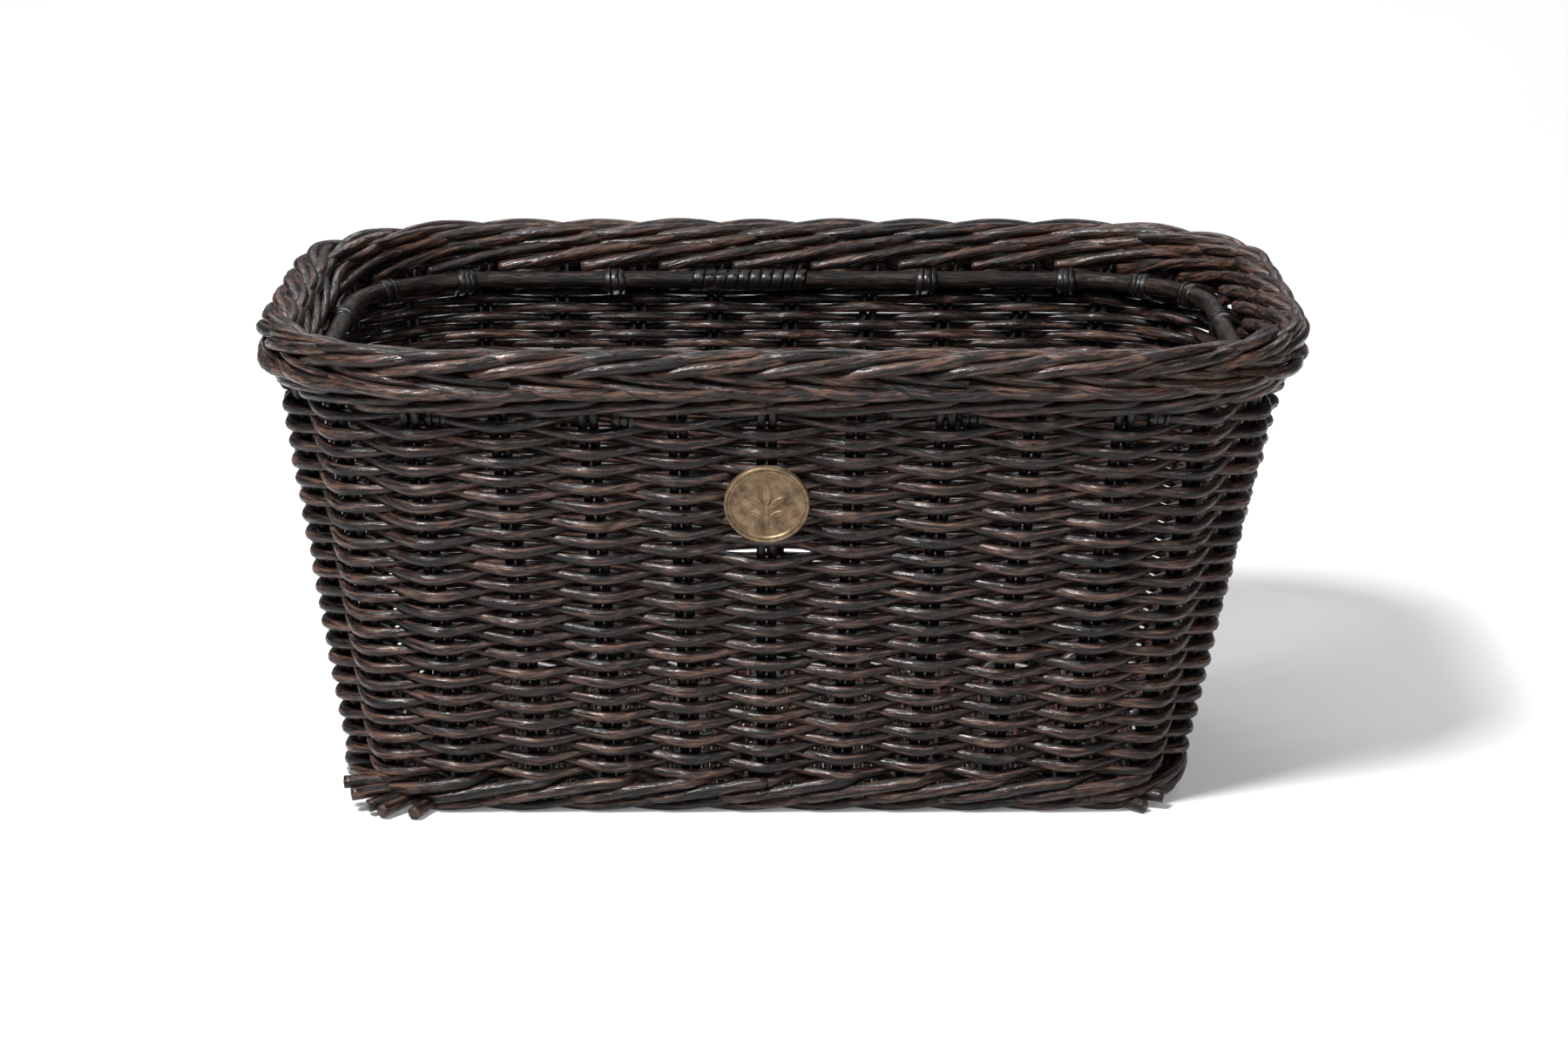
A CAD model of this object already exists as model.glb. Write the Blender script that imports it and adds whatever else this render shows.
import math

import bpy
import numpy as np
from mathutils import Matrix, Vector


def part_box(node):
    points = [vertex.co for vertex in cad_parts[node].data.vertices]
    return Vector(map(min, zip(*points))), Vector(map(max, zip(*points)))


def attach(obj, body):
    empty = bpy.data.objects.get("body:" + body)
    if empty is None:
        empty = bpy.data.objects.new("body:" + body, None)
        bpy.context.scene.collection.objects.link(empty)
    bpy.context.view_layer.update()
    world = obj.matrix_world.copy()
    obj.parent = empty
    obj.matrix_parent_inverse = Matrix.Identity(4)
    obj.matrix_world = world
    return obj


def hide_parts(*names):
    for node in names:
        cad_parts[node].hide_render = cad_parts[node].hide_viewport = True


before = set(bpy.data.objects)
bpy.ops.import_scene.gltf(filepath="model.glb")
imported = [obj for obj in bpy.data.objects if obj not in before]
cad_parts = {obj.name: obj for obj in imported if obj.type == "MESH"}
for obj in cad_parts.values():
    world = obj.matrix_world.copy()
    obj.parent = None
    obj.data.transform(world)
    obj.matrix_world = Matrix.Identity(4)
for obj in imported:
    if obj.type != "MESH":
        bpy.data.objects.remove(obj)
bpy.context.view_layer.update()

metre = 0.001
random = np.random.default_rng(11)
# The columns of stakes are counted from the front's middle towards the right. Five spaces lie
# along each half of the front and of the back, and seven go round each end. Rods that run right
# round start and stop in the middle of the left-hand end, between two columns.
columnCount = 34
frontColumns = 5
endColumns = 7
leftEnd = 25.5


def boxOf(node):
    low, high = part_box(node)
    return np.array(low) / metre, np.array(high) / metre


# Changeable values of the wall: its thickness, the corner radii of its middle at the foot and
# under the border, and the distance between columns of stakes along the front at both heights.
# Slip is how far the columns have moved to the left by the time they reach the border.
wall = {"thick": 11.6, "footRadius": 34.0, "rimRadius": 72.0, "footPitch": 29.0, "topPitch": 33.4,
        "slip": 5.5}

sidingLow, sidingHigh = boxOf("siding_weave")
groundLow, groundHigh = boxOf("foot_rod_ground")
strandLow = boxOf("border_strand_outer")[0]
borderHigh = boxOf("border_strand_top")[1]
baseLow, baseHigh = boxOf("base_weave")
footZ = sidingLow[2]
sidingTop = sidingHigh[2]
borderZ = strandLow[2]
topZ = borderHigh[2]
groundRod = {"radius": 2.9, "centre": 2.55}
nearHalf = (groundHigh - groundLow)[:2] / 2 - groundRod["radius"]
nearX = (groundHigh[0] + groundLow[0]) / 2
farHalf = (sidingHigh - sidingLow)[:2] / 2 - wall["thick"] / 2
farX = (sidingHigh[0] + sidingLow[0]) / 2


def mix(a, b, t):
    return a + (b - a) * t


def smooth(x):
    x = np.clip(x, 0, 1)
    return x * x * (3 - 2 * x)


def shapeAt(z):
    # Half sizes, corner radius and sideways shift all run straight from the foot to the border.
    t = (z - groundRod["centre"]) / (sidingTop - groundRod["centre"])
    share = (z - footZ) / (borderZ - footZ)
    halfX = mix(nearHalf[0], farHalf[0], t)
    halfY = mix(nearHalf[1], farHalf[1], t)
    radius = mix(wall["footRadius"], wall["rimRadius"], share)
    pitch = mix(wall["footPitch"], wall["topPitch"], share)
    return halfX, halfY, radius, mix(nearX, farX, t), pitch, wall["slip"] * share


def place(u, off, z):
    # Column u becomes a distance along the outline: even steps along the front and the back, and
    # other even steps round each end. That distance is then walked along the right half, a
    # straight, a quarter circle, a straight, a quarter circle and a straight, and the left half
    # is its mirror image. The point lies off the wall's middle by off, along the normal.
    u, off, z = np.broadcast_arrays(np.asarray(u, float), np.asarray(off, float), np.asarray(z, float))
    halfX, halfY, radius, shift, pitch, slip = shapeAt(z)
    u = np.mod(u, columnCount)
    flip = u > columnCount / 2
    n = np.where(flip, columnCount - u, u)
    flatX = halfX - radius
    flatY = halfY - radius
    arc = math.pi / 2 * radius
    girth = 2 * flatX + 2 * flatY + 2 * arc
    endPitch = (girth - 2 * frontColumns * pitch) / endColumns
    onFront = n * pitch
    onEnd = frontColumns * pitch + (n - frontColumns) * endPitch
    onBack = girth - (columnCount / 2 - n) * pitch
    s = np.where(n <= frontColumns, onFront, np.where(n >= frontColumns + endColumns, onBack, onEnd))
    s = np.where(flip, -s, s) - slip
    s = np.where(s < -girth, s + 2 * girth, s)
    flip = s < 0
    s = np.abs(s)
    cases = [s < flatX, s < flatX + arc, s < flatX + arc + 2 * flatY, s < flatX + 2 * arc + 2 * flatY]
    half = math.pi / 2
    turn = [-half + 0 * s, -half + (s - flatX) / radius, 0 * s, (s - flatX - arc - 2 * flatY) / radius]
    angle = np.select(cases, turn, half)
    c = np.cos(angle)
    d = np.sin(angle)
    x = np.select(cases, [s, flatX + radius * c, halfX, flatX + radius * c], girth - s)
    y = np.select(cases, [-halfY, -flatY + radius * d, s - flatX - arc - flatY, flatY + radius * d], halfY)
    side = np.where(flip, -1.0, 1.0)
    normal = np.stack([side * c, d, 0 * z], -1)
    point = np.stack([side * x + shift, y, z], -1) + normal * off[..., None]
    return point, normal


def unit(v):
    return v / np.maximum(np.linalg.norm(v, axis=-1, keepdims=True), 1e-9)


def rod(points, reference, thick, wide=None, sides=10, closed=False, tint=None):
    # A rod's skin: at each point of its path, an ellipse of points in the plane across the path.
    # Its thickness lies along the reference direction, and its width across that. Each point
    # also keeps its place in the rod, as a length along it and two distances across it.
    count = len(points)
    if closed:
        along = np.roll(points, -1, 0) - np.roll(points, 1, 0)
    else:
        along = np.gradient(points, axis=0)
    along = unit(along)
    out = unit(reference - (reference * along).sum(-1, keepdims=True) * along)
    across = np.cross(along, out)
    thick = np.broadcast_to(np.asarray(thick, float), count)
    wide = thick if wide is None else np.broadcast_to(np.asarray(wide, float), count)
    angle = np.arange(sides) * 2 * math.pi / sides
    ringOut = thick[:, None] * np.cos(angle)
    ringAcross = wide[:, None] * np.sin(angle)
    skin = points[:, None] + ringOut[..., None] * out[:, None] + ringAcross[..., None] * across[:, None]
    step = np.linalg.norm(np.diff(points, axis=0), axis=-1)
    length = np.concatenate([[0], np.cumsum(step)]) + random.uniform(0, 5000)
    grain = np.stack([np.broadcast_to(length[:, None], ringOut.shape), ringOut, ringAcross], -1)
    rows = np.arange(count if closed else count - 1)
    i = rows[:, None]
    j = np.arange(sides)[None]
    k = (j + 1) % sides
    n = (i + 1) % count
    quads = np.stack([i * sides + j, i * sides + k, n * sides + k, n * sides + j], -1).reshape(-1, 4)
    verts = skin.reshape(-1, 3)
    grain = grain.reshape(-1, 3)
    end = np.zeros(len(verts))
    tris = np.zeros((0, 3), int)
    if not closed:
        # Each cut end is a slightly domed fan.
        first = len(verts)
        dome = 0.15 * min(thick[0], thick[-1])
        tips = np.stack([points[0] - along[0] * dome, points[-1] + along[-1] * dome])
        verts = np.concatenate([verts, tips])
        grain = np.concatenate([grain, [[length[0], 0, 0], [length[-1], 0, 0]]])
        end = np.concatenate([end, [1.0, 1.0]])
        a = np.arange(sides)
        b = (a + 1) % sides
        last = (count - 1) * sides
        tris = np.concatenate([
            np.stack([np.full(sides, first), b, a], -1),
            np.stack([np.full(sides, first + 1), last + a, last + b], -1),
        ])
    shade = random.uniform(0, 1) if tint is None else tint
    return {"verts": verts, "quads": quads, "tris": tris, "grain": grain, "end": end,
            "tint": np.full(len(verts), shade)}


def upFor(points):
    return np.broadcast_to(np.array([0, 0, 1.0]), points.shape)


def join(parts):
    # Several skins in one list of points, with the numbers in each face moved on to match.
    start = np.cumsum([0] + [len(p["verts"]) for p in parts])
    whole = {key: np.concatenate([p[key] for p in parts]) for key in ("verts", "grain", "end", "tint")}
    whole["quads"] = np.concatenate([p["quads"] + s for p, s in zip(parts, start)])
    whole["tris"] = np.concatenate([p["tris"] + s for p, s in zip(parts, start)])
    return whole


def makePiece(name, parts, material, nodes):
    # One mesh object in metres, with each point's place in its rod kept for the grain.
    data = join(parts)
    mesh = bpy.data.meshes.new(name)
    quads = data["quads"]
    tris = data["tris"]
    mesh.vertices.add(len(data["verts"]))
    mesh.vertices.foreach_set("co", (data["verts"] * metre).astype(np.float32).ravel())
    corners = np.concatenate([quads.ravel(), tris.ravel()]).astype(np.int32)
    sizes = np.concatenate([np.full(len(quads), 4), np.full(len(tris), 3)]).astype(np.int32)
    mesh.loops.add(len(corners))
    mesh.loops.foreach_set("vertex_index", corners)
    mesh.polygons.add(len(sizes))
    mesh.polygons.foreach_set("loop_start", np.concatenate([[0], np.cumsum(sizes)[:-1]]).astype(np.int32))
    mesh.polygons.foreach_set("use_smooth", np.ones(len(sizes), bool))
    mesh.update(calc_edges=True)
    mesh.validate()
    grain = mesh.attributes.new("grain", "FLOAT_VECTOR", "POINT")
    grain.data.foreach_set("vector", data["grain"].astype(np.float32).ravel())
    for key in ("end", "tint"):
        attribute = mesh.attributes.new(key, "FLOAT", "POINT")
        attribute.data.foreach_set("value", data[key].astype(np.float32))
    mesh.materials.append(material)
    piece = bpy.data.objects.new(name, mesh)
    bpy.context.scene.collection.objects.link(piece)
    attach(piece, "root")
    if nodes:
        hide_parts(*nodes)
    return piece


def toLinear(text):
    # A display colour turned into linear light, by the standard curve.
    parts = [int(text[i:i + 2], 16) / 255 for i in (1, 3, 5)]
    return [c / 12.92 if c <= 0.04045 else ((c + 0.055) / 1.055) ** 2.4 for c in parts] + [1.0]


def addNode(tree, kind, settings=None, links=None):
    # Settings are values on sockets, by name or number, or else the node's own settings.
    node = tree.nodes.new(kind)
    for key, value in (settings or {}).items():
        if isinstance(key, int) or key in node.inputs.keys():
            node.inputs[key].default_value = value
        else:
            setattr(node, key, value)
    for key, source in (links or {}).items():
        tree.links.new(source, node.inputs[key])
    return node


def newMaterial(name):
    material = bpy.data.materials.new(name)
    material.use_nodes = True
    tree = material.node_tree
    tree.nodes.clear()
    return material, tree


def ramp(tree, factor, stops):
    node = addNode(tree, "ShaderNodeValToRGB", {}, {"Fac": factor})
    elements = node.color_ramp.elements
    while len(elements) < len(stops):
        elements.new(0.5)
    for element, (position, colour) in zip(elements, stops):
        element.position = position
        element.color = colour
    return node.outputs["Color"]


def rattan(name, values):
    # Stained rattan: long fibres that run with the rod, fine open pores, and broad patches
    # where the stain is redder. It gives the eye its dark brown streaks and satin sheen. Fibres
    # and pores are drawn coarser than real ones, about a millimetre wide, so that they show.
    material, tree = newMaterial(name)
    grain = addNode(tree, "ShaderNodeAttribute", {"attribute_name": "grain"}).outputs["Vector"]
    tint = addNode(tree, "ShaderNodeAttribute", {"attribute_name": "tint"}).outputs["Fac"]
    end = addNode(tree, "ShaderNodeAttribute", {"attribute_name": "end"}).outputs["Fac"]
    place3 = addNode(tree, "ShaderNodeTexCoord").outputs["Object"]
    long = addNode(tree, "ShaderNodeVectorMath", {"operation": "MULTIPLY", 1: (0.055, 0.7, 0.7)}, {0: grain})
    fibres = addNode(tree, "ShaderNodeTexNoise", {"Scale": 1.0, "Detail": 4.0, "Roughness": 0.62},
                     {"Vector": long.outputs[0]}).outputs["Fac"]
    short = addNode(tree, "ShaderNodeVectorMath", {"operation": "MULTIPLY", 1: (0.16, 1.25, 1.25)},
                    {0: grain})
    pores = addNode(tree, "ShaderNodeTexNoise", {"Scale": 1.0, "Detail": 2.0, "Roughness": 0.6},
                    {"Vector": short.outputs[0]}).outputs["Fac"]
    patches = addNode(tree, "ShaderNodeTexNoise", {"Scale": 45.0, "Detail": 3.0, "Roughness": 0.6},
                      {"Vector": place3}).outputs["Fac"]
    sumA = addNode(tree, "ShaderNodeMath", {"operation": "MULTIPLY_ADD", 1: values["tintShare"]},
                   {0: tint, 2: fibres})
    sumB = addNode(tree, "ShaderNodeMath", {"operation": "SUBTRACT", 1: values["tintShare"] / 2},
                   {0: sumA.outputs[0]})
    stain = ramp(tree, sumB.outputs[0], [(0.42, toLinear(values["dark"])),
                                         (0.5, toLinear(values["middle"])),
                                         (0.6, toLinear(values["light"]))])
    redMask = addNode(tree, "ShaderNodeMapRange",
                      {"From Min": 0.5, "From Max": 0.68, "To Max": values["redShare"]},
                      {"Value": patches}).outputs["Result"]
    reddened = addNode(tree, "ShaderNodeMix",
                       {"data_type": "RGBA", "blend_type": "MIX", 7: toLinear(values["red"])},
                       {0: redMask, 6: stain}).outputs[2]
    poreMask = addNode(tree, "ShaderNodeMapRange",
                       {"From Min": 0.4, "From Max": 0.54, "To Min": 0.12, "To Max": 1.0},
                       {"Value": pores}).outputs["Result"]
    pored = addNode(tree, "ShaderNodeVectorMath", {"operation": "SCALE"},
                    {0: reddened, "Scale": poreMask}).outputs[0]
    ended = addNode(tree, "ShaderNodeMix",
                    {"data_type": "RGBA", "blend_type": "MIX", 7: toLinear(values["cut"])},
                    {0: end, 6: pored}).outputs[2]
    rough = addNode(tree, "ShaderNodeMapRange",
                    {"From Min": 0.42, "From Max": 0.56, "To Min": values["roughHigh"],
                     "To Max": values["roughLow"]}, {"Value": pores}).outputs["Result"]
    heights = addNode(tree, "ShaderNodeMath", {"operation": "MULTIPLY_ADD", 1: 0.6},
                      {0: pores, 2: fibres}).outputs[0]
    bump = addNode(tree, "ShaderNodeBump", {"Strength": values["bump"], "Distance": 0.00035},
                   {"Height": heights}).outputs["Normal"]
    shader = addNode(tree, "ShaderNodeBsdfPrincipled", {"Specular IOR Level": values["specular"]},
                     {"Base Color": ended, "Roughness": rough, "Normal": bump})
    addNode(tree, "ShaderNodeOutputMaterial", {}, {"Surface": shader.outputs[0]})
    return material


# Changeable colours and finish of each kind of cane. Stakes, hoop and split cane are darker than
# the weavers, because they take more stain and lie in the shade of the weave.
caneLook = {"dark": "#050302", "middle": "#190e0b", "light": "#533c33", "red": "#34190d", "cut": "#30231b",
            "tintShare": 0.1, "redShare": 0.35, "roughLow": 0.24, "roughHigh": 0.64, "bump": 1.0,
            "specular": 0.32}
stakeLook = dict(caneLook, dark="#040302", middle="#0b0706", light="#221914", red="#180d08")
poleLook = dict(caneLook, dark="#020101", middle="#080504", light="#2a1f18", red="#150b06", roughLow=0.45,
                roughHigh=0.75, specular=0.2)
peelLook = dict(caneLook, dark="#030202", middle="#080504", light="#1a1310", red="#0e0805", roughLow=0.3,
                roughHigh=0.5, bump=0.4, specular=0.35)
caneMaterial = rattan("Stained rattan core", caneLook)
stakeMaterial = rattan("Stained rattan stake", stakeLook)
poleMaterial = rattan("Stained rattan pole", poleLook)
peelMaterial = rattan("Stained rattan peel", peelLook)


def metal(name, values):
    # Worn metal: a bright tone on the high places and a dark, rougher tarnish in patches and
    # hollows. It gives the eye the mottled face of old brass, or a plain plated screw.
    material, tree = newMaterial(name)
    place3 = addNode(tree, "ShaderNodeTexCoord").outputs["Object"]
    spots = addNode(tree, "ShaderNodeTexNoise",
                    {"Scale": values["spotScale"], "Detail": 5.0, "Roughness": 0.65},
                    {"Vector": place3}).outputs["Fac"]
    hollow = addNode(tree, "ShaderNodeAttribute", {"attribute_name": "hollow"}).outputs["Fac"]
    total = addNode(tree, "ShaderNodeMath", {"operation": "MULTIPLY_ADD", 1: -values["hollowShare"]},
                    {0: hollow, 2: spots}).outputs[0]
    colour = ramp(tree, total, [(0.3, toLinear(values["dark"])), (0.46, toLinear(values["middle"])),
                                (0.64, toLinear(values["bright"]))])
    rough = addNode(tree, "ShaderNodeMapRange",
                    {"From Min": 0.3, "From Max": 0.65, "To Min": values["roughHigh"],
                     "To Max": values["roughLow"]}, {"Value": total}).outputs["Result"]
    fine = addNode(tree, "ShaderNodeTexNoise", {"Scale": 2600.0, "Detail": 3.0},
                   {"Vector": place3}).outputs["Fac"]
    bump = addNode(tree, "ShaderNodeBump", {"Strength": 0.4, "Distance": 0.0001},
                   {"Height": fine}).outputs["Normal"]
    shader = addNode(tree, "ShaderNodeBsdfPrincipled", {"Metallic": values["metallic"]},
                     {"Base Color": colour, "Roughness": rough, "Normal": bump})
    addNode(tree, "ShaderNodeOutputMaterial", {}, {"Surface": shader.outputs[0]})
    return material


# Changeable colours and finish of each metal.
brassLook = {"dark": "#473829", "middle": "#685641", "bright": "#806d53", "spotScale": 220.0,
             "hollowShare": 0.06, "roughLow": 0.42, "roughHigh": 0.6, "metallic": 0.75}
steelLook = {"dark": "#6f7173", "middle": "#9b9da0", "bright": "#c2c4c6", "spotScale": 300.0,
             "hollowShare": 0.1, "roughLow": 0.25, "roughHigh": 0.45, "metallic": 1.0}
brassMaterial = metal("Antique brass", brassLook)
steelMaterial = metal("Zinc plated steel", steelLook)
print("materials made")

# Changeable values of the siding: its rows, of which the lowest is left out so that the foot
# shows, the weavers and how uneven the weave is. Each gap has its column, its height and its
# size: one just under the badge, measured down from its middle, and one low down at the back.
siding = {"rows": 42, "first": 1, "radius": 2.4, "pressed": 0.54, "swing": 4.6, "round": 0.86, "sag": 1.15,
          "steps": 14, "uneven": 0.4, "inOut": 0.3}
badgeLow, badgeHigh = boxOf("badge_disc")
badgeZ = (badgeLow[2] + badgeHigh[2]) / 2
gaps = [(0, badgeZ - 22.5, 1.9), (17, 54.5, 1.9)]
rowHeight = (sidingTop - footZ) / siding["rows"]


def sway(u, row):
    # In front of one column and behind the next: a triangle wave with rounded tops.
    wave = np.arcsin(siding["round"] * np.cos(math.pi * (u + row))) / math.asin(siding["round"])
    return siding["swing"] * wave


def wander(u, size):
    # A random value at each column, brought to nothing halfway between columns.
    values = random.uniform(-size, size, columnCount)
    near = np.rint(u).astype(int) % columnCount
    return values[near] * np.cos(math.pi * (u - np.rint(u))) ** 2


rowU = leftEnd + np.arange(columnCount * siding["steps"] + 1) / siding["steps"]


def parted(u, z, column, middle, size):
    # Rows above the middle of a gap are pushed up and rows below it down, less so further off.
    away = z - middle
    push = size * math.tanh(away / 2.5) * math.exp(-abs(away) / 14)
    apart = np.abs(np.mod(u - column + columnCount / 2, columnCount) - columnCount / 2)
    return push * np.exp(-(apart / 0.6) ** 2)


for row in range(siding["first"], siding["rows"]):
    z = footZ + (row + 0.5) * rowHeight
    rise = sum(parted(rowU, z, *gap) for gap in gaps)
    # A weaver hangs lower where it passes in front, and sits higher where it passes behind.
    swung = sway(rowU, row)
    height = z - siding["sag"] * swung / siding["swing"] + wander(rowU, siding["uneven"]) + rise
    points, normals = place(rowU, swung + wander(rowU, siding["inOut"]), height)
    # Weavers are pressed thinner where they cross, halfway between columns.
    radius = (siding["radius"] - siding["pressed"] * np.sin(math.pi * rowU) ** 2) * (1 + wander(rowU, 0.05))
    makePiece(f"sidingRow{row:02d}", [rod(points, normals, radius)], caneMaterial, ["siding_weave"])
print("siding woven")

# Changeable values of the stakes: two beside each other in each column, a little wavy, which go
# straight up into the border.
stake = {"radius": 1.8, "apart": 4.2, "bend": 0.25, "top": 4.0}


def pairShift(u, z, side):
    # The distance between the stakes of a pair, turned into columns at that height.
    a = place(u - 0.01, 0, z)[0]
    b = place(u + 0.01, 0, z)[0]
    return side * stake["apart"] / 2 * 0.02 / np.linalg.norm(b - a, axis=-1)


stakeLow = boxOf("stake_pair_01")[0][2]
for index in range(columnCount):
    parts = []
    for side in (-1, 1):
        z = np.linspace(stakeLow, borderZ + stake["top"], 30)
        bend = stake["bend"] * np.sin(z * 0.31 + random.uniform(0, 6)) * smooth((borderZ - z) / 20)
        shift = pairShift(float(index), z, side)
        points, normals = place(index + shift, bend, z)
        parts.append(rod(points, normals, stake["radius"]))
    makePiece(f"stakePair{index + 1:02d}", parts, stakeMaterial, [f"stake_pair_{index + 1:02d}"])
print("stakes set")

# Changeable values of the wale: three rods, each in front of two columns and behind one.
wale = {"radius": 2.1, "outer": 4.4, "inner": -3.9, "climb": 5.4, "lower": 0.2, "steps": 10}
waleLow, waleHigh = boxOf("top_wale_outer")
waleZ = (waleLow[2] + waleHigh[2]) / 2 - wale["lower"]


def waleRod(turn, values, z):
    # Over three columns the rod is outside for two, climbing as it goes, and inside for one.
    u = np.linspace(0, columnCount, columnCount * values["steps"] + 1) + turn * columnCount
    phase = np.mod(u / 3, 1)
    outside = smooth((phase - 0.02) / 0.2) * smooth((0.84 - phase) / 0.2)
    climb = np.where(phase < 0.8, phase / 0.8, (1 - phase) / 0.2)
    off = mix(values["inner"], values["outer"], outside)
    height = z + values["climb"] * (smooth(climb * 0.9 + 0.05) - 0.5)
    return place(u, off + wander(u, 0.2), height + wander(u, 0.25))


for turn in range(3):
    points, normals = waleRod(turn, wale, waleZ)
    makePiece(f"waleRod{turn + 1}", [rod(points, normals, wale["radius"])], caneMaterial,
              ["top_wale_outer", "top_wale_inner"])
print("wale twisted")

# Changeable values of the border: a seven-strand plait, whose width is tilted inwards by tilt.
# Each strand is a pair of rods that comes up from one column and runs for seven columns. Then
# its tail goes on down the inner side, to core columns from its own.
border = {"radius": 2.4, "apart": 4.75, "edge": 1.0, "width": 6.2, "depth": 4.8, "tilt": 12.0, "out": 2.9,
          "start": 0.5, "joinAt": 0.75, "rise": 13.0, "period": 7, "tail": 6.95, "core": 9.8,
          "coreOff": -3.2, "coreDrop": 7.2, "steps": 16}
borderMid = (borderZ + topZ) / 2
tiltAngle = math.radians(border["tilt"])
wideWay = np.array([-math.sin(tiltAngle), math.cos(tiltAngle)])
deepWay = np.array([math.cos(tiltAngle), math.sin(tiltAngle)])


def plait(v):
    # A strand's place in the border's section, at v columns from its own: across the plait it
    # goes as the sine of an angle, held back at the edges, and to the front and back as the sine
    # of twice that angle.
    angle = 2 * math.pi * (v - border["start"]) / border["period"]
    across = border["width"] * np.tanh(border["edge"] * np.sin(angle)) / math.tanh(border["edge"])
    deep = border["depth"] * np.sin(2 * angle)
    section = across[..., None] * wideWay + deep[..., None] * deepWay
    turn = math.pi / 2 - angle + np.sin(2 * angle) / 2
    facing = np.cos(turn)[..., None] * wideWay + np.sin(turn)[..., None] * deepWay
    return section[..., 0] + border["out"], section[..., 1] + borderMid, facing


def borderPath(index):
    v = np.linspace(0, border["core"], int(border["steps"] * border["core"]))
    off, z, facing = plait(v)
    # From the stakes the pair leans over into the plait.
    into = smooth(v / border["joinAt"])
    lift = borderZ - 1.0 + border["rise"] * v
    off = mix(0.0, off, into)
    z = mix(lift, z, smooth(v / border["joinAt"] * 1.15))
    # Past its last stroke the pair slopes away downwards along the border's inner side.
    tucked = smooth((v - border["tail"] + 0.4) / 0.9)
    tail = np.clip((v - border["tail"]) / (border["core"] - border["tail"]), 0, 1)
    off = mix(off, mix(border["out"] - 2, border["coreOff"], smooth(tail * 1.3)), tucked)
    z = mix(z, borderMid + 1 - border["coreDrop"] * tail, tucked)
    u = index + v
    points, normals = place(u, off, z)
    up = np.zeros_like(points)
    up[:, 2] = 1
    faceTo = normals * facing[:, :1] + up * facing[:, 1:]
    # At the stakes the pair lies side by side along the wall, so it starts facing outwards.
    sign = np.where((faceTo * normals).sum(-1)[:1] < 0, -1.0, 1.0)
    faceTo = unit(mix(normals, faceTo * sign, into[:, None]))
    return points, faceTo


def pairOfRods(points, faceTo, radius, apart):
    # Two rods side by side, at a distance that varies a little, with ends cut unevenly.
    along = unit(np.gradient(points, axis=0))
    out = unit(faceTo - (faceTo * along).sum(-1, keepdims=True) * along)
    across = np.cross(along, out)
    shade = random.uniform(0, 1)
    parts = []
    for side in (-1, 1):
        near = 1 + 0.05 * np.sin(np.arange(len(points)) * 0.21 + random.uniform(0, 6))
        path = points + across * (side * apart / 2 * near)[:, None]
        trim = random.integers(0, 3)
        last = len(path) - trim
        parts.append(rod(path[:last], out[:last], radius * random.uniform(0.95, 1.04),
                         tint=np.clip(shade + random.uniform(-0.25, 0.25), 0, 1)))
    return parts


borderNodes = ["border_strand_outer", "border_strand_top", "border_strand_inner"]
for index in range(columnCount):
    points, faceTo = borderPath(index)
    parts = pairOfRods(points, faceTo, border["radius"], border["apart"])
    makePiece(f"borderPair{index + 1:02d}", parts, caneMaterial, borderNodes)
print("border braided")

# Changeable values of the foot: a wale of three rods over a two-rod twist that touches the floor.
# The twist's section is an ellipse, wide across the wall and flat in height.
footWale = {"radius": 2.45, "outer": 5.4, "inner": -4.6, "climb": 9.4, "height": 9.6, "steps": 10}
twist = {"radius": 2.0, "out": 1.6, "wide": 2.25, "high": 1.2, "steps": 16}
for turn in range(3):
    points, normals = waleRod(turn, footWale, footWale["height"])
    makePiece(f"footWaleRod{turn + 1}", [rod(points, normals, footWale["radius"])], caneMaterial,
              ["foot_rod_outer", "foot_rod_inner"])
for side in range(2):
    u = leftEnd + np.arange(columnCount * twist["steps"] + 1) / twist["steps"]
    angle = math.pi * (u + side)
    points, normals = place(u, twist["out"] + twist["wide"] * np.cos(angle),
                            twist["radius"] + twist["high"] * (1 + np.sin(angle)))
    makePiece(f"footTwistRod{side + 1}", [rod(points, normals, twist["radius"])], caneMaterial,
              ["foot_rod_ground"])
# Cut ends of the foot's rods run straight on past the front corners. Each has its column, its
# height, its length and its direction.
cutEnds = {
    "radius": 2.6,
    "rods": [
        (-4.75, 12.0, 27, (-1, -0.08, -0.03)),
        (-4.75, 9.4, 25, (-1, -0.28, -0.08)),
        (-4.7, 7.0, 22, (-0.9, -0.55, -0.13)),
        (-4.75, 5.0, 20, (-0.65, -0.85, -0.1)),
        (-4.5, 3.2, 17, (-0.4, -0.95, -0.03)),
        (4.85, 6.5, 16, (1, -0.3, -0.08)),
        (4.75, 3.4, 14, (0.8, -0.7, -0.04)),
    ],
}
parts = []
for column, height, length, way in cutEnds["rods"]:
    t = np.linspace(0, 1, 14)[:, None]
    begin = place(column, -1.0, height)[0]
    points = begin + unit(np.array(way, float)) * length * t
    points[:, 2] = np.maximum(points[:, 2], cutEnds["radius"] + 0.05)
    parts.append(rod(points, upFor(points), cutEnds["radius"], sides=12))
makePiece("footCutEnds", parts, caneMaterial, ["foot_rod_outer"])
print("foot twisted")

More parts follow.
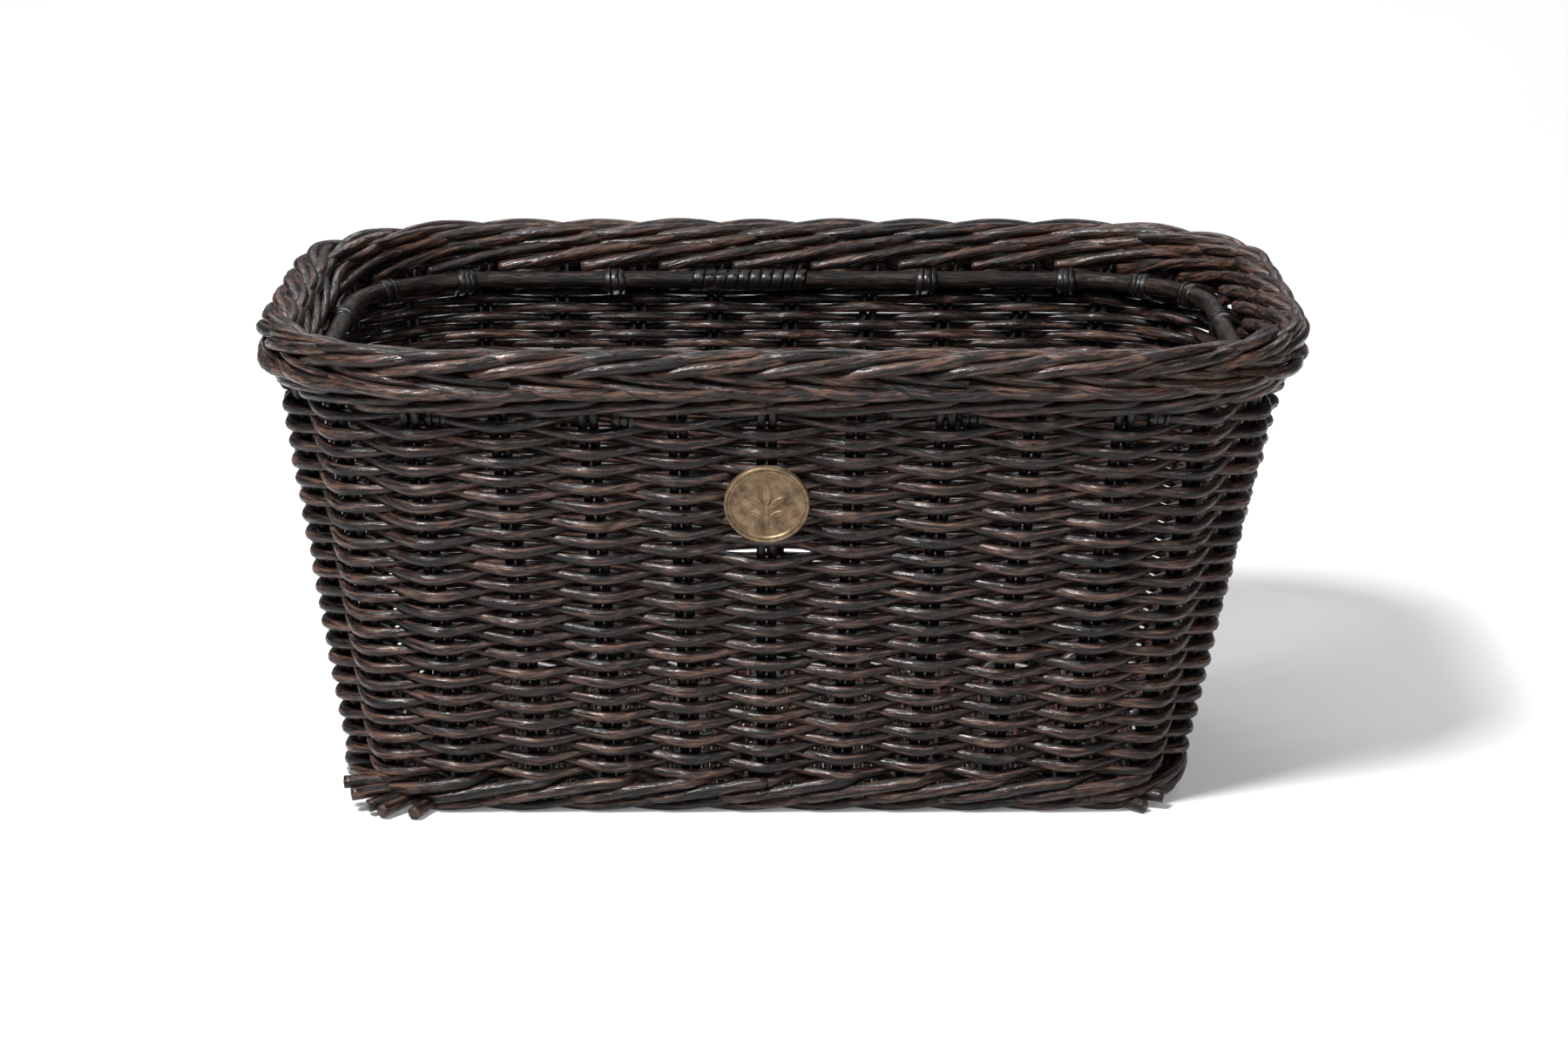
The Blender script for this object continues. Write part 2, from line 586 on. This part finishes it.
# Changeable values of the base: weavers from front to back, over and under the long sticks.
# Its outline is a rectangle with round corners, so that each weaver reaches a little less far
# near the ends.
base = {"weaverRadius": 1.45, "stickRadius": 2.2, "pitch": 3.15, "swing": 3.3, "corner": 25.0, "sticks": 6}
baseMid = (baseLow[2] + baseHigh[2]) / 2
baseHalf = (baseHigh - baseLow)[:2] / 2
baseX = (baseHigh[0] + baseLow[0]) / 2
stickY = [sum(v[1] for v in boxOf(f"base_stick_{i + 1}")) / 2 for i in range(base["sticks"])]
stickStep = (stickY[-1] - stickY[0]) / (base["sticks"] - 1)
parts = []
weaverCount = int(2 * (baseHalf[0] - 2) / base["pitch"])
for i in range(weaverCount):
    x = -baseHalf[0] + 3 + (2 * baseHalf[0] - 6) * i / (weaverCount - 1)
    past = max(abs(x) - (baseHalf[0] - base["corner"]), 0)
    reach = baseHalf[1] - base["corner"] + math.sqrt(max(base["corner"] ** 2 - past ** 2, 0)) - 0.5
    y = np.linspace(-reach, reach, 72)
    wave = np.cos(math.pi * ((y - stickY[0]) / stickStep + i))
    z = baseMid + (base["swing"] + 0.3 * math.sin(i * 1.7)) * np.tanh(1.2 * wave) / math.tanh(1.2)
    points = np.stack([np.full_like(y, x + baseX) + 0.25 * np.sin(y * 0.05 + i), y, z], -1)
    parts.append(rod(points, upFor(points), base["weaverRadius"], sides=8))
makePiece("baseWeave", parts, caneMaterial, ["base_weave"])
for i in range(base["sticks"]):
    low, high = boxOf(f"base_stick_{i + 1}")
    x = np.linspace(low[0], high[0], 40)
    points = np.stack([x, stickY[i] + 0.3 * np.sin(x * 0.03 + i), np.full_like(x, baseMid)], -1)
    makePiece(f"baseStick{i + 1}", [rod(points, upFor(points), base["stickRadius"], sides=12)], stakeMaterial,
              [f"base_stick_{i + 1}"])
print("base woven")

# Changeable values of the hoop and of the split cane that holds it. Overlap is half the joint's
# length, in columns.
hoop = {"radius": 3.75, "overlap": 0.55, "wrapTurns": 10, "wrapWide": 2.45, "peelThick": 0.4,
        "peelWide": 1.65}
hoopLow, hoopHigh = boxOf("hoop")
hoopZ = (hoopLow[2] + hoopHigh[2]) / 2
hoopOff = (hoopHigh[0] - hoopLow[0]) / 2 - hoop["radius"] - shapeAt(hoopZ)[0]
wrapLow, wrapHigh = boxOf("hoop_joint_wrap")
joint = columnCount / 2 + (wall["slip"] - (wrapLow[0] + wrapHigh[0]) / 2) / wall["topPitch"]
u = np.linspace(joint - hoop["overlap"], joint + columnCount + hoop["overlap"], 700)
# Both ends are cut to long wedges that lie on each other under the wrapping.
startCut = smooth((u - u[0]) / (2 * hoop["overlap"]))
endCut = smooth((u[-1] - u) / (2 * hoop["overlap"]))
cut = np.minimum(startCut, endCut)
lean = hoop["radius"] * (1 - cut) * np.where(u < joint + columnCount / 2, 1.0, -1.0)
# A slight swelling every few columns, where a leaf grew.
knots = 1 + 0.05 * np.exp(-((np.mod(u, 6.3) - 3.0) / 0.08) ** 2)
points, normals = place(u, hoopOff + lean, hoopZ)
hoopThick = hoop["radius"] * (0.08 + 0.92 * cut) * knots
makePiece("hoop", [rod(points, normals, hoopThick, hoop["radius"] * knots, sides=16)], poleMaterial,
          ["hoop"])
# The wrapping is a flat strip that winds round the joint as a close screw.
turns = np.linspace(0, 1, hoop["wrapTurns"] * 24)
angle = turns * hoop["wrapTurns"] * 2 * math.pi
wrapRadius = hoop["radius"] + hoop["peelThick"] + 0.15
wrapY = (wrapLow[1] + wrapHigh[1]) / 2
spin = np.stack([0 * angle, np.cos(angle), np.sin(angle)], -1)
middle = np.stack([mix(wrapHigh[0] - 2, wrapLow[0] + 2, turns), 0 * angle + wrapY, 0 * angle + hoopZ], -1)
wrap = rod(middle + spin * wrapRadius, spin, hoop["peelThick"], hoop["wrapWide"], sides=8)
makePiece("hoopJointWrap", [wrap], peelMaterial, ["hoop_joint_wrap"])

# Changeable values of the lashings, by column, each with three turns.
lashColumns = [-3.7, -1.6, 2.3, 4.4, 7.3, 9.3, 11.3, 12.3, 13.5, 15.3, -14.7, -12.7, -11.3, -9.3, -6.7]
topRowZ = footZ + (siding["rows"] - 0.5) * rowHeight
parts = []
for centre in lashColumns:
    pitch = np.linalg.norm(place(centre + 0.5, 0, hoopZ)[0] - place(centre - 0.5, 0, hoopZ)[0])
    rowOff = float(sway(np.array(centre), siding["rows"] - 1))
    # One turn goes round the hoop and the topmost row: corner points rounded to a smooth loop.
    reach = hoopOff - hoop["radius"] - 0.5
    near = hoopOff + 1.5
    over = hoopZ + hoop["radius"] + 0.5
    under = hoopZ - hoop["radius"] - 0.5
    front = rowOff + siding["radius"] + 0.5
    top = topRowZ + siding["radius"] + 0.4
    bottom = topRowZ - siding["radius"] - 0.5
    loop = np.array([[reach, hoopZ + 2], [hoopOff - 2, over], [near, over], [1, mix(over, top, 0.7)],
                     [front - 1.2, top], [front, topRowZ + 0.8], [front, topRowZ - 0.8],
                     [front - 1.2, bottom], [1, mix(bottom, under, 0.3)], [near, under + 0.4],
                     [hoopOff - 2, under], [reach, hoopZ - 2]])
    for _ in range(3):
        ahead = np.roll(loop, -1, 0)
        loop = np.stack([mix(loop, ahead, 0.25), mix(loop, ahead, 0.75)], 1).reshape(-1, 2)
    for k in (-1, 0, 1):
        slant = 0.35 * np.sin(np.arange(len(loop)) / len(loop) * 2 * math.pi)
        u = centre + (k * (hoop["peelWide"] * 2 - 0.1) + slant) / pitch
        points, normals = place(u, loop[:, 0], loop[:, 1])
        middle = loop.mean(0)
        centreLine = place(np.full(len(loop), centre), middle[0], middle[1])[0]
        away = unit(points - centreLine)
        parts.append(rod(points, away, hoop["peelThick"], hoop["peelWide"], sides=8, closed=True))
makePiece("hoopLashings", parts, peelMaterial, ["hoop_lashings"])
print("hoop lashed")

# Changeable values of the badge: how far it stands off the wall, the sprig's relief, the dome
# of the field inside the rim, and the two posts behind it. Each leaf of the sprig has its lean,
# where it starts up the stem, its length and its width.
badge = {
    "off": 0.2,
    "relief": 0.55,
    "dome": 0.35,
    "fieldRadius": 13.0,
    "postRadius": 2.4,
    "postAt": 8.5,
    "sides": 160,
    "leaves": [
        (0, -0.5, 10, 4.2),
        (0.95, -1.5, 8.5, 3.6),
        (-0.95, -1.5, 8.5, 3.6),
        (1.15, -5.5, 7.5, 3.2),
        (-1.15, -5.5, 7.5, 3.2),
    ],
}
slope = math.atan2(shapeAt(borderZ)[1] - shapeAt(footZ)[1], borderZ - footZ)
centre = place(0.0, 0, np.array(float(badgeZ)))[0]
outWay = np.array([0, -math.cos(slope), -math.sin(slope)])
upWay = np.array([0, -math.sin(slope), math.cos(slope)])
rightWay = np.array([1.0, 0, 0])
for node, material in (("badge_back_plate", brassMaterial), ("badge_screws", steelMaterial)):
    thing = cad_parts[node]
    thing.data.materials.clear()
    thing.data.materials.append(material)


def leafHeight(x, y, angle, length, width):
    # A pointed leaf: a long dome with a groove down its middle.
    c = math.cos(angle)
    s = math.sin(angle)
    along = (x * -s + y * c) / length
    across = (x * c + y * s) / (width / 2)
    edge = np.sin(math.pi * np.clip(along, 0, 1)) ** 0.8
    inside = np.clip(1 - np.abs(across) / np.maximum(edge, 1e-3), 0, 1) * (along > 0) * (along < 1)
    return smooth(inside * 2.2) * (1 - 0.45 * np.exp(-(across / 0.16) ** 2))


# The badge is turned: a profile of radius and height, from the back's middle round the rim, with
# a groove in it, to the field. The field's heights then take the sprig and the dome.
sides = badge["sides"]
profile = [(0.0, 0.0), (0.5, 0.0), (12.0, 0.0), (15.6, 0.0), (15.9, 0.12), (16.0, 0.4), (16.0, 1.7),
           (15.9, 2.3), (15.6, 2.6), (15.2, 2.68), (14.95, 2.6), (14.75, 2.35), (14.55, 2.2),
           (14.35, 2.35), (14.15, 2.55), (13.9, 2.6), (13.65, 2.5), (13.45, 2.15), (13.25, 1.85)]
rimRows = len(profile)
profile += [(r, 1.8) for r in np.linspace(badge["fieldRadius"], 0.12, 70)]
profile = np.array(profile)
theta = np.arange(sides) * 2 * math.pi / sides
px = profile[:, :1] * np.cos(theta)
py = profile[:, :1] * np.sin(theta)
height = np.broadcast_to(profile[:, 1:], px.shape).copy()
field = (np.arange(len(profile)) >= rimRows)[:, None] & np.ones_like(px, bool)
sprig = np.zeros_like(px)
for angle, start, length, width in badge["leaves"]:
    sprig = np.maximum(sprig, leafHeight(px, py - start, angle, length, width))
stem = smooth(1.6 - np.abs(px) / 0.45) * (py > -10) * (py < 0)
sprig = np.maximum(sprig, stem)
height = height + field * sprig * badge["relief"]
dome = badge["dome"] * np.clip(1 - (px ** 2 + py ** 2) / badge["fieldRadius"] ** 2, 0, 1)
height = height + field * dome
# The tarnish gathers round the leaves and in the rim's groove.
hollow = field * (1 - sprig) * 0.7 + (np.abs(profile[:, :1] - 14.55) < 0.3) * 0.9
start = wall["thick"] / 2 + badge["off"]
verts = centre + (px[..., None] * rightWay + py[..., None] * upWay + (height + start)[..., None] * outWay)
rows = len(profile)
i = np.arange(rows - 1)[:, None]
j = np.arange(sides)[None]
k = (j + 1) % sides
quads = np.stack([i * sides + j, (i + 1) * sides + j, (i + 1) * sides + k, i * sides + k], -1).reshape(-1, 4)
quads = quads[:, ::-1]
disc = {"verts": verts.reshape(-1, 3), "quads": quads[sides:], "tris": np.zeros((0, 3), int),
        "grain": verts.reshape(-1, 3), "end": np.zeros(rows * sides), "tint": np.full(rows * sides, 0.5)}
# Two more points, in the middle of the back and of the front, close the badge with fans.
total = rows * sides
middles = [centre + start * outWay, centre + (start + height[-1].mean()) * outWay]
disc["verts"] = np.concatenate([disc["verts"], middles])
for key in ("end", "tint"):
    disc[key] = np.concatenate([disc[key], disc[key][:2]])
disc["grain"] = disc["verts"]
a = np.arange(sides)
b = (a + 1) % sides
disc["tris"] = np.concatenate([np.stack([np.full(sides, total), sides + b, sides + a], -1),
                               np.stack([np.full(sides, total + 1), (rows - 1) * sides + a,
                                         (rows - 1) * sides + b], -1)])
posts = []
for side in (-1, 1):
    t = np.linspace(start + 0.4, -wall["thick"] / 2 - 0.1, 6)[:, None]
    path = centre + rightWay * side * badge["postAt"] + outWay * t
    posts.append(rod(path, np.broadcast_to(upWay, path.shape), badge["postRadius"], sides=24))
badgePiece = makePiece("badgeDisc", [disc] + posts, brassMaterial, ["badge_disc"])
values = np.concatenate([hollow.ravel(), [0.5, 0.5], np.full(sum(len(p["verts"]) for p in posts), 0.6)])
attribute = badgePiece.data.attributes.new("hollow", "FLOAT", "POINT")
attribute.data.foreach_set("value", values.astype(np.float32))
print("badge made")

# A pale, matt floor that glows faintly, so that it runs into the white background. It gives
# the eye a plain white ground with one soft shadow.
floorMaterial, tree = newMaterial("Pale floor")
floorNoise = addNode(tree, "ShaderNodeTexNoise", {"Scale": 40.0, "Detail": 2.0})
floorColour = ramp(tree, floorNoise.outputs["Fac"], [(0.3, toLinear("#cecece")), (0.7, toLinear("#d0d0d0"))])
floorShader = addNode(tree, "ShaderNodeBsdfPrincipled",
                      {"Roughness": 0.9, "Specular IOR Level": 0.0, "Emission Color": (1, 1, 1, 1),
                       "Emission Strength": 0.16}, {"Base Color": floorColour})
addNode(tree, "ShaderNodeOutputMaterial", {}, {"Surface": floorShader.outputs[0]})
floorMesh = bpy.data.meshes.new("floor")
floorMesh.from_pydata([(-30, -30, 0), (30, -30, 0), (30, 30, 0), (-30, 30, 0)], [], [(0, 1, 2, 3)])
floorMesh.materials.append(floorMaterial)
floor = bpy.data.objects.new("floor", floorMesh)
bpy.context.scene.collection.objects.link(floor)

# Changeable values of the lights: where each stands, what it faces, its two sides and its power.
lights = {
    "keyLight": ((-0.8, -1.05, 1.8), (0, 0, 0.1), (0.5, 0.5), 96),
    "fillLight": ((0.9, -1.6, 1.1), (0, 0, 0.1), (0.6, 0.6), 12),
    "topLight": ((-0.1, 0.3, 1.8), (0, 0, 0.1), (0.9, 0.5), 5),
    "backdropLight": ((0, 2.6, 2.2), (0, 2.3, 0), (4.0, 2.0), 84),
}
for name, (stand, aim, size, power) in lights.items():
    lamp = bpy.data.lights.new(name, "AREA")
    lamp.shape = "RECTANGLE"
    lamp.size = size[0]
    lamp.size_y = size[1]
    lamp.energy = power
    thing = bpy.data.objects.new(name, lamp)
    thing.location = stand
    thing.rotation_euler = (Vector(aim) - Vector(stand)).to_track_quat("-Z", "Y").to_euler()
    bpy.context.scene.collection.objects.link(thing)
world = bpy.data.worlds.new("studio")
world.use_nodes = True
world.node_tree.nodes["Background"].inputs[0].default_value = (1, 1, 1, 1)
world.node_tree.nodes["Background"].inputs[1].default_value = 0.06
bpy.context.scene.world = world
# Plain display colours, so that white stays white and the dark cane stays dark.
bpy.context.scene.view_settings.view_transform = "Standard"

# Changeable values of the view: angles in degrees, distance in metres, lens in millimetres, and
# the picture's shifts sideways and upwards, as parts of its width across.
view = {"azimuth": 0.0, "elevation": 14.36, "distance": 1.6207, "lens": 92.2, "shiftX": 2.5, "shiftY": -12.2,
        "aimZ": 0.098, "across": 1800}
azimuth = math.radians(view["azimuth"])
elevation = math.radians(view["elevation"])
away = Vector((math.sin(azimuth) * math.cos(elevation), -math.cos(azimuth) * math.cos(elevation),
               math.sin(elevation)))
cameraData = bpy.data.cameras.new("camera")
cameraData.lens = view["lens"]
cameraData.sensor_width = 36
cameraData.shift_x = view["shiftX"] / view["across"]
cameraData.shift_y = view["shiftY"] / view["across"]
cameraData.clip_end = 100
camera = bpy.data.objects.new("camera", cameraData)
camera.location = Vector((0, 0, view["aimZ"])) + away * view["distance"]
camera.rotation_euler = (-away).to_track_quat("-Z", "Y").to_euler()
bpy.context.scene.collection.objects.link(camera)
bpy.context.scene.camera = camera
print("stage set")
